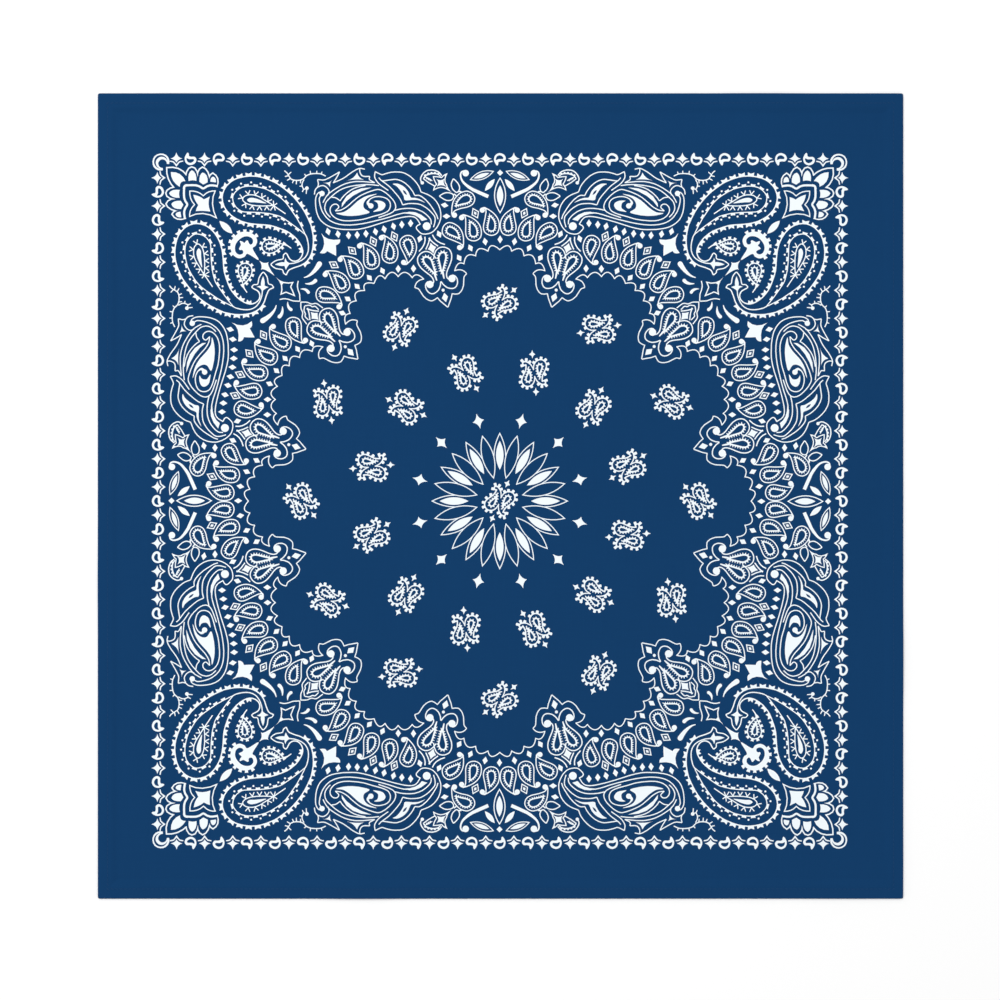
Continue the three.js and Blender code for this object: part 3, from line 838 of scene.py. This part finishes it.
def swell(distance, span):
    """1 in the middle of a span and 0 at its ends and beyond, smooth between."""
    share = np.minimum(1, np.abs(distance) / (span / 2))
    return (1 + np.cos(np.pi * share)) / 2


def ripple_height(x, y):
    """How far the ripples lift the cloth off the surface at x, y."""
    height = np.zeros_like(x)
    for ridge_x, ridge_y, heading, length, width, crest in RIPPLES:
        angle = math.radians(heading)
        along = (x - ridge_x) * math.cos(angle) + (y - ridge_y) * math.sin(angle)
        across = (y - ridge_y) * math.cos(angle) - (x - ridge_x) * math.sin(angle)
        height += crest * swell(along, length) * swell(across, width)
    return height


def edge_section(rows):
    """A face's heights from the fold inwards: the given rows, then a soft way down to the field."""
    lift = TURNED + EASE
    top = rows[-1][1]
    for t in np.linspace(0, 1, 7):
        way_down = (1 - math.cos(math.pi * t)) / 2
        rows.append((HEM_END + (EASE_END - HEM_END) * t, top - lift * way_down))
    return np.array(rows)


UPPER_SECTION = edge_section([(0, 0.8), (0.15, 1.2), (0.45, 1.52), (0.9, TURNED + EASE + CLOTH)])
LOWER_SECTION = edge_section([(0, 0.5), (0.15, 0.16), (0.45, 0), (0.6, 0), (0.65, TURNED + EASE)])


def cloth_height(x, y, section):
    """The height of the cloth's upper or lower face at x, y."""
    inset_here = HALF - np.maximum(np.abs(x), np.abs(y))
    return np.interp(inset_here, section[:, 0], section[:, 1]) + ripple_height(x, y)


MORE_INSETS = [3, 5.5, 21, 27]  # mesh lines beside the sections' own
insets = np.concatenate([UPPER_SECTION[:, 0], LOWER_SECTION[:, 0], MORE_INSETS])
insets = sorted(set(np.round(insets, 4)))
near = [-HALF + depth for depth in insets if depth < HALF - PRINTED_HALF - 1]
field = list(np.linspace(-PRINTED_HALF, PRINTED_HALF, round(2 * PRINTED_HALF / STEP) + 1))
lines = np.array(near + field + [-place for place in reversed(near)])
per_row = len(lines)
lattice_y, lattice_x = (part.ravel() for part in np.meshgrid(lines, lines, indexing="ij"))
first, last = len(near), len(near) + len(field) - 1  # the lines that bound the print

# The print goes into the upper face as its own faces, cut out of the ground round it. Each face
# belongs to one of four parts, which later lie in quarters of the cloth's map.
GROUND, PRINT, UNDERSIDE, RIM = range(4)
inside = [j * per_row + i for j in range(first, last + 1) for i in range(first, last + 1)]
points = [(lattice_x[k], lattice_y[k]) for k in inside]
outlines = []
for outline, _ in printed:
    if area(outline) < 0:
        outline = outline[::-1]
    outlines.append(list(range(len(points), len(points) + len(outline))))
    points += [(p.real + PRINT_OFF_CENTRE.real, p.imag + PRINT_OFF_CENTRE.imag) for p in outline]
SAME_PLACE = 1e-4  # points this near each other are one
found, _, triangles, sources, _, owners = delaunay_2d_cdt(
    [Vector(p) for p in points], [], outlines, 0, SAME_PLACE)
kept = []
extra = []
for place, source in zip(found, sources):
    on_lattice = [s for s in source if s < len(inside)]
    if on_lattice:
        kept.append(inside[on_lattice[0]])
    else:
        kept.append(per_row**2 + len(extra))
        extra.append((place.x, place.y))
extra = np.array(extra)
upper_x = np.concatenate([lattice_x, extra[:, 0]])
upper_y = np.concatenate([lattice_y, extra[:, 1]])
faces = []
parts = []
for corners, owner in zip(triangles, owners):
    faces.append([kept[k] for k in corners])
    parts.append(PRINT if owner and printed[max(owner)][1] == WHITE else GROUND)
upper_count = len(upper_x)
for j in range(per_row - 1):
    for i in range(per_row - 1):
        here = j * per_row + i
        quad = [here, here + 1, here + per_row + 1, here + per_row]
        if not (first <= i < last and first <= j < last):
            faces.append(quad)
            parts.append(GROUND)
        faces.append([upper_count + k for k in reversed(quad)])
        parts.append(UNDERSIDE)
for k in range(per_row - 1):
    here, there = k * per_row, (k + 1) * per_row
    last_row = (per_row - 1) * per_row + k
    for start, end in [(k, k + 1), (last_row + 1, last_row), (there, here),
                       (here + per_row - 1, there + per_row - 1)]:
        faces.append([upper_count + start, upper_count + end, end, start])
        parts.append(RIM)


def round_corners(x, y):
    """Draws the square's four corners in to a small radius."""
    middle = HALF - CORNER
    out_x, out_y = np.abs(x) - middle, np.abs(y) - middle
    beyond = (out_x > 0) & (out_y > 0)
    shrink = np.where(beyond, np.maximum(out_x, out_y) / np.maximum(np.hypot(out_x, out_y), TINY), 1)
    return (np.where(beyond, np.sign(x) * (middle + out_x * shrink), x),
            np.where(beyond, np.sign(y) * (middle + out_y * shrink), y))


def smooth_normals(x, y, section):
    """The way that a face looks at x, y, from the slopes of its height."""
    reach = 0.25  # to each side, for the slope
    slope_x = cloth_height(x + reach, y, section) - cloth_height(x - reach, y, section)
    slope_y = cloth_height(x, y + reach, section) - cloth_height(x, y - reach, section)
    normals = np.column_stack([-slope_x, -slope_y, np.full_like(x, 2 * reach)])
    return normals / np.linalg.norm(normals, axis=1, keepdims=True)


upper_z = cloth_height(upper_x, upper_y, UPPER_SECTION)
lower_z = cloth_height(lattice_x, lattice_y, LOWER_SECTION)
round_x, round_y = round_corners(upper_x, upper_y)
round_below_x, round_below_y = round_corners(lattice_x, lattice_y)
vertices = np.column_stack([np.concatenate([round_x, round_below_x]),
                            np.concatenate([round_y, round_below_y]),
                            np.concatenate([upper_z, lower_z])]) * MM
mesh = bpy.data.meshes.new("cloth")
mesh.from_pydata(vertices.tolist(), [], faces)
flat_part = HALF - np.maximum(np.abs(upper_x), np.abs(upper_y)) > ROUNDED
normals = np.zeros((len(vertices), 3))
normals[:upper_count][flat_part] = smooth_normals(upper_x[flat_part], upper_y[flat_part],
                                                  UPPER_SECTION)
mesh.shade_smooth()
mesh.normals_split_custom_set_from_vertices(normals.tolist())
cloth = bpy.data.objects.new("cloth", mesh)
bpy.context.collection.objects.link(cloth)

# Its map: ground, print, underside and rim lie in separate quarters, so none tints another.
MAP_MARGIN = 0.005  # left free round each quarter
RIM_SHARE = 0.04  # of the rim's quarter, over which the rim's height is spread
RIM_HEIGHT = 1.6  # and that height
spread = mesh.uv_layers.new(name="OFBake")
corner_vertices = np.empty(len(mesh.loops), dtype=np.int32)
mesh.loops.foreach_get("vertex_index", corner_vertices)
part_of_corner = np.repeat(parts, [len(face) for face in faces])
across = vertices[corner_vertices, 0] / (2 * HALF * MM) + 0.5
up = vertices[corner_vertices, 1] / (2 * HALF * MM) + 0.5
rise = vertices[corner_vertices, 2] / (RIM_HEIGHT * MM)
up = np.where(part_of_corner == RIM, up * (1 - RIM_SHARE) + RIM_SHARE * rise, up)
quarter_x = np.array([0, 0.5, 0, 0.5])[part_of_corner]
quarter_y = np.array([0.5, 0.5, 0, 0])[part_of_corner]
width = 0.5 - 2 * MAP_MARGIN
uv = np.column_stack([quarter_x + MAP_MARGIN + width * across, quarter_y + MAP_MARGIN + width * up])
spread.data.foreach_set("uv", uv.ravel())

# Its cotton: plain weave with slightly uneven threads, and soft shades of the dye. The print is
# the same cotton in the ink's white, a little smoother.
NAVY_DYE = (0.0050, 0.0418, 0.1265, 1)
PRINT_INK = (0.845, 0.905, 0.94, 1)
WEAVE_PITCH = 0.42  # from one thread to the next


def cotton(name, colour, shade, roughness):
    """Woven cotton of one colour, with its weave, uneven threads and slight shades of the dye."""
    material = bpy.data.materials.new(name)
    material.use_nodes = True
    nodes, links = material.node_tree.nodes, material.node_tree.links
    surface = nodes["Principled BSDF"]
    place = nodes.new("ShaderNodeTexCoord").outputs["Object"]

    def step(kind, operation, *values):
        """One sum in the node tree, of numbers and of other nodes' outputs."""
        node = nodes.new(kind)
        node.operation = operation
        for socket, value in zip(node.inputs, values):
            if hasattr(value, "links"):
                links.new(value, socket)
            else:
                socket.default_value = value
        return node.outputs[0]

    def cloud(scale, detail):
        """Soft noise, stretched by a scale for each axis."""
        stretched = step("ShaderNodeVectorMath", "MULTIPLY", place, scale)
        noise = nodes.new("ShaderNodeTexNoise")
        noise.inputs["Scale"].default_value = 1
        noise.inputs["Detail"].default_value = detail
        links.new(stretched, noise.inputs["Vector"])
        return noise.outputs["Fac"]

    turns = math.pi / (WEAVE_PITCH * MM)
    waves = nodes.new("ShaderNodeSeparateXYZ")
    links.new(step("ShaderNodeVectorMath", "MULTIPLY", place, (turns, turns, turns)), waves.inputs[0])
    warp = step("ShaderNodeMath", "SINE", waves.outputs["X"])
    weft = step("ShaderNodeMath", "SINE", waves.outputs["Y"])
    over_under = step("ShaderNodeMath", "MULTIPLY", warp, weft)
    slubs = step("ShaderNodeMath", "ADD", cloud((40, 900, 1), 2), cloud((900, 40, 1), 2))
    patches = cloud((9, 9, 9), 3)
    weave = step("ShaderNodeMath", "MULTIPLY", over_under, 0.35)
    relief = step("ShaderNodeMath", "ADD", weave, slubs)
    bump = nodes.new("ShaderNodeBump")
    bump.inputs["Strength"].default_value = 0.25
    bump.inputs["Distance"].default_value = 0.0001
    links.new(relief, bump.inputs["Height"])
    links.new(bump.outputs["Normal"], surface.inputs["Normal"])

    blend = nodes.new("ShaderNodeMix")
    blend.data_type = "RGBA"
    blend.inputs["A"].default_value = [c * (1 - shade) for c in colour[:3]] + [1]
    blend.inputs["B"].default_value = [min(1, c * (1 + shade)) for c in colour[:3]] + [1]
    uneven_threads = step("ShaderNodeMath", "MULTIPLY", slubs, 0.35)
    uneven_dye = step("ShaderNodeMath", "MULTIPLY", patches, 0.3)
    tone = step("ShaderNodeMath", "ADD", uneven_threads, uneven_dye)
    links.new(tone, blend.inputs["Factor"])
    links.new(blend.outputs["Result"], surface.inputs["Base Color"])
    surface.inputs["Roughness"].default_value = roughness
    surface.inputs["Specular IOR Level"].default_value = 0.05
    surface.inputs["Sheen Weight"].default_value = 0.02
    surface.inputs["Sheen Roughness"].default_value = 0.5
    return material


dyed_cotton = cotton("dyed cotton", NAVY_DYE, shade=0.10, roughness=0.92)
mesh.materials.append(dyed_cotton)
mesh.materials.append(cotton("white print", PRINT_INK, shade=0.015, roughness=0.85))
mesh.polygons.foreach_set("material_index", [int(part == PRINT) for part in parts])
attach(cloth, "root")
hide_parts("panel")

# The turned hems
# Under each edge the cloth is folded in twice, which leaves a narrow double strip. The left and
# right ones run the whole way, and the other two are tucked short between them.
STRIP_OUTER = 1.0  # from the fold to the strip's outer side
STRIP_INNER = 8.3  # and to its inner side
STRIP_FOOT = 0.1  # the strip stands this high on its stitches
STRIP_MIDDLE = 4.6
STRIP_SECTION = [  # inset from the fold and height, once round the strip
    (STRIP_OUTER, 0.3), (STRIP_OUTER, 0.8), (STRIP_OUTER + 0.2, TURNED), (STRIP_MIDDLE, TURNED),
    (STRIP_INNER - 0.45, TURNED), (STRIP_INNER - 0.13, 0.87), (STRIP_INNER, 0.56),
    (STRIP_INNER - 0.13, 0.24), (STRIP_INNER - 0.45, STRIP_FOOT), (STRIP_MIDDLE, STRIP_FOOT),
    (STRIP_OUTER + 0.2, STRIP_FOOT),
]
STATIONS = 70  # sections along a strip, close enough to follow the ripples


def strip(name, quarter_turns, reach):
    """One turned hem, made along the bottom edge and carried round to its own."""
    stations = np.linspace(-reach, reach, STATIONS)
    section = np.array(STRIP_SECTION)
    along = np.repeat(stations, len(section))
    x, y = along, np.tile(section[:, 0], len(stations)) - HALF
    for _ in range(quarter_turns):
        x, y = -y, x
    z = np.tile(section[:, 1], len(stations)) + ripple_height(x, y)
    count = len(section)
    sides_of_strip = []
    for k in range(len(stations) - 1):
        for i in range(count):
            after = (i + 1) % count
            sides_of_strip.append([k * count + i, (k + 1) * count + i,
                                   (k + 1) * count + after, k * count + after])
    ends = [list(range(count)), [(len(stations) - 1) * count + i for i in reversed(range(count))]]
    strip_mesh = bpy.data.meshes.new(name)
    strip_mesh.from_pydata((np.column_stack([x, y, z]) * MM).tolist(), [], sides_of_strip + ends)
    strip_mesh.shade_smooth()
    for face in strip_mesh.polygons[-2:]:
        face.use_smooth = False
    strip_mesh.materials.append(dyed_cotton)
    piece = bpy.data.objects.new(name, strip_mesh)
    bpy.context.collection.objects.link(piece)
    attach(piece, "root")
    return piece


LONG_REACH = HALF - STRIP_OUTER
TUCK_GAP = 0.3  # between a short strip's end and the long strip that it meets
SHORT_REACH = HALF - STRIP_INNER - TUCK_GAP
hems = [strip("bottom_hem", 0, SHORT_REACH), strip("right_hem", 1, LONG_REACH),
        strip("top_hem", 2, SHORT_REACH), strip("left_hem", 3, LONG_REACH)]
for piece, node in zip(hems, ["hem_bottom", "hem_right", "hem_top", "hem_left"]):
    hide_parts(node)

# The hem stitching
# One row of lock stitches in navy cotton thread runs all round, close to the turned strip's
# inner side. It shows on the upper face and, where the thread comes back, on the underside.
SEAM_INSET = 6.9
STITCH_PITCH = 3.1
STITCH_LENGTH = 2.7
SHORTEST, LONGEST = 0.93, 1.04  # shares of that length, as the stitches are a little uneven
SEED = 7
THREAD = 0.34
UPPER_STAND = 0.02  # the thread's middle over the upper face
LOWER_SINK = 0.06  # how far the thread below is pressed down
SIDE_STEPS = 60  # straight bits of the seam along each side


def seam_loop(height):
    """Places once round the cloth along the seam, at a height over the surface."""
    reach = HALF - SEAM_INSET
    run = np.linspace(-reach, reach, SIDE_STEPS + 1)[:-1]
    still = np.full(SIDE_STEPS, reach)
    x = np.concatenate([run, still, -run, -still])
    y = np.concatenate([-still, run, still, -run])
    return np.column_stack([x, y, height + ripple_height(x, y)]) * MM


upper_seam = seam_loop(TURNED + EASE + CLOTH + UPPER_STAND)
lower_seam = seam_loop(THREAD / 2 - LOWER_SINK)
seam_mesh = bpy.data.meshes.new("seam lines")
whole_way = 4 * SIDE_STEPS
around = [(k, (k + 1) % whole_way) for k in range(whole_way)]
seam_mesh.from_pydata(np.concatenate([upper_seam, lower_seam]).tolist(),
                      around + [(a + whole_way, b + whole_way) for a, b in around], [])
stitching = bpy.data.objects.new("hem_stitching", seam_mesh)
bpy.context.collection.objects.link(stitching)

DARKER_THREAD = (0.0066, 0.041, 0.124, 1)
LIGHTER_THREAD = (0.0085, 0.053, 0.155, 1)
thread = bpy.data.materials.new("hem thread")
thread.use_nodes = True
thread_nodes, thread_links = thread.node_tree.nodes, thread.node_tree.links
thread_surface = thread_nodes["Principled BSDF"]
thread_surface.inputs["Roughness"].default_value = 0.7
thread_surface.inputs["Specular IOR Level"].default_value = 0.2
thread_place = thread_nodes.new("ShaderNodeTexCoord")
thread_noise = thread_nodes.new("ShaderNodeTexNoise")
thread_noise.inputs["Scale"].default_value = 600
thread_tones = thread_nodes.new("ShaderNodeMix")
thread_tones.data_type = "RGBA"
thread_tones.inputs["A"].default_value = DARKER_THREAD
thread_tones.inputs["B"].default_value = LIGHTER_THREAD
thread_links.new(thread_place.outputs["Object"], thread_noise.inputs["Vector"])
thread_links.new(thread_noise.outputs["Fac"], thread_tones.inputs["Factor"])
thread_links.new(thread_tones.outputs["Result"], thread_surface.inputs["Base Color"])

tree = bpy.data.node_groups.new("stitches along a seam", "GeometryNodeTree")
tree.interface.new_socket("Seam", in_out="INPUT", socket_type="NodeSocketGeometry")
pitch_input, length_input, thread_input = (
    tree.interface.new_socket(name, in_out="INPUT", socket_type="NodeSocketFloat")
    for name in ("Pitch", "Stitch length", "Thread width"))
seed_input = tree.interface.new_socket("Seed", in_out="INPUT", socket_type="NodeSocketInt")
tree.interface.new_socket("Stitches", in_out="OUTPUT", socket_type="NodeSocketGeometry")
given = tree.nodes.new("NodeGroupInput")
to_curve = tree.nodes.new("GeometryNodeMeshToCurve")
to_points = tree.nodes.new("GeometryNodeCurveToPoints")
to_points.mode = "LENGTH"
one_stitch = tree.nodes.new("GeometryNodeMeshUVSphere")
one_stitch.inputs["Segments"].default_value = 6
one_stitch.inputs["Rings"].default_value = 5
one_stitch.inputs["Radius"].default_value = 0.5
measures = tree.nodes.new("ShaderNodeCombineXYZ")
unevenness = tree.nodes.new("FunctionNodeRandomValue")
unevenness.inputs[2].default_value = SHORTEST
unevenness.inputs[3].default_value = LONGEST
uneven_length = tree.nodes.new("ShaderNodeMath")
uneven_length.operation = "MULTIPLY"
placed = tree.nodes.new("GeometryNodeInstanceOnPoints")
realized = tree.nodes.new("GeometryNodeRealizeInstances")
coloured = tree.nodes.new("GeometryNodeSetMaterial")
coloured.inputs["Material"].default_value = thread
result = tree.nodes.new("NodeGroupOutput")
for start, end in [
    (given.outputs["Seam"], to_curve.inputs[0]),
    (to_curve.outputs[0], to_points.inputs["Curve"]),
    (given.outputs["Pitch"], to_points.inputs["Length"]),
    (to_points.outputs["Points"], placed.inputs["Points"]),
    (to_points.outputs["Rotation"], placed.inputs["Rotation"]),
    (one_stitch.outputs["Mesh"], placed.inputs["Instance"]),
    (given.outputs["Seed"], unevenness.inputs["Seed"]),
    (given.outputs["Stitch length"], uneven_length.inputs[0]),
    (unevenness.outputs[1], uneven_length.inputs[1]),
    (given.outputs["Thread width"], measures.inputs["X"]),
    (given.outputs["Thread width"], measures.inputs["Y"]),
    (uneven_length.outputs[0], measures.inputs["Z"]),
    (measures.outputs[0], placed.inputs["Scale"]),
    (placed.outputs[0], realized.inputs[0]),
    (realized.outputs[0], coloured.inputs["Geometry"]),
    (coloured.outputs[0], result.inputs["Stitches"]),
]:
    tree.links.new(start, end)
modifier = stitching.modifiers.new("stitches", "NODES")
modifier.node_group = tree
modifier[pitch_input.identifier] = STITCH_PITCH * MM
modifier[length_input.identifier] = STITCH_LENGTH * MM
modifier[thread_input.identifier] = THREAD * MM
modifier[seed_input.identifier] = SEED
evaluated = stitching.evaluated_get(bpy.context.evaluated_depsgraph_get())
stitches_mesh = bpy.data.meshes.new_from_object(evaluated)
stitching.modifiers.remove(modifier)
stitching.data = stitches_mesh
stitches_mesh.name = "hem stitching"
stitches_mesh.shade_smooth()
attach(stitching, "root")
floor_name = "table_top"

# The surface, the light and the camera
# A plain white table top under a large soft light, with even light from all round. The camera
# looks straight down, so far away that the square shows no perspective.
PIXEL = 0.6944  # millimetres of cloth to a pixel of the picture
PICTURE = 1000  # pixels across
LOOK_RIGHT, LOOK_UP = -0.5, -4  # pixels from the cloth's middle to where the camera looks
LENS = 85.0
SENSOR = 36
TABLE_HALF = 6  # metres
floor_mesh = bpy.data.meshes.new(floor_name)
floor_corners = [(x * TABLE_HALF, y * TABLE_HALF, 0) for x, y in [(-1, -1), (1, -1), (1, 1), (-1, 1)]]
floor_mesh.from_pydata(floor_corners, [], [(0, 1, 2, 3)])
floor = bpy.data.objects.new(floor_name, floor_mesh)
floor_material = bpy.data.materials.new("white table top")
floor_material.use_nodes = True
floor_surface = floor_material.node_tree.nodes["Principled BSDF"]
floor_surface.inputs["Base Color"].default_value = (0.97, 0.97, 0.97, 1)
floor_surface.inputs["Roughness"].default_value = 0.9
floor_surface.inputs["Specular IOR Level"].default_value = 0.1
floor_mesh.materials.append(floor_material)

world = bpy.data.worlds.new("even light")
world.use_nodes = True
world.node_tree.nodes["Background"].inputs["Color"].default_value = (1, 1, 1, 1)
world.node_tree.nodes["Background"].inputs["Strength"].default_value = 0.72
bpy.context.scene.world = world
lamp_data = bpy.data.lights.new("soft box", "AREA")
lamp_data.shape = "SQUARE"
lamp_data.size = 1.6
lamp_data.energy = 36
lamp = bpy.data.objects.new("soft box", lamp_data)
lamp.location = (-0.9, 1.0, 2.4)
lamp.rotation_euler = (-lamp.location).to_track_quat("-Z", "Y").to_euler()

camera_data = bpy.data.cameras.new("camera")
camera_data.lens = LENS
camera_data.sensor_width = SENSOR
camera_data.clip_end = 20
camera = bpy.data.objects.new("camera", camera_data)
camera.location = (LOOK_RIGHT * PIXEL * MM, LOOK_UP * PIXEL * MM,
                   PICTURE * PIXEL * MM * LENS / SENSOR)
for thing in (floor, lamp, camera):
    bpy.context.collection.objects.link(thing)
bpy.context.scene.camera = camera
bpy.context.scene.view_settings.view_transform = "Standard"
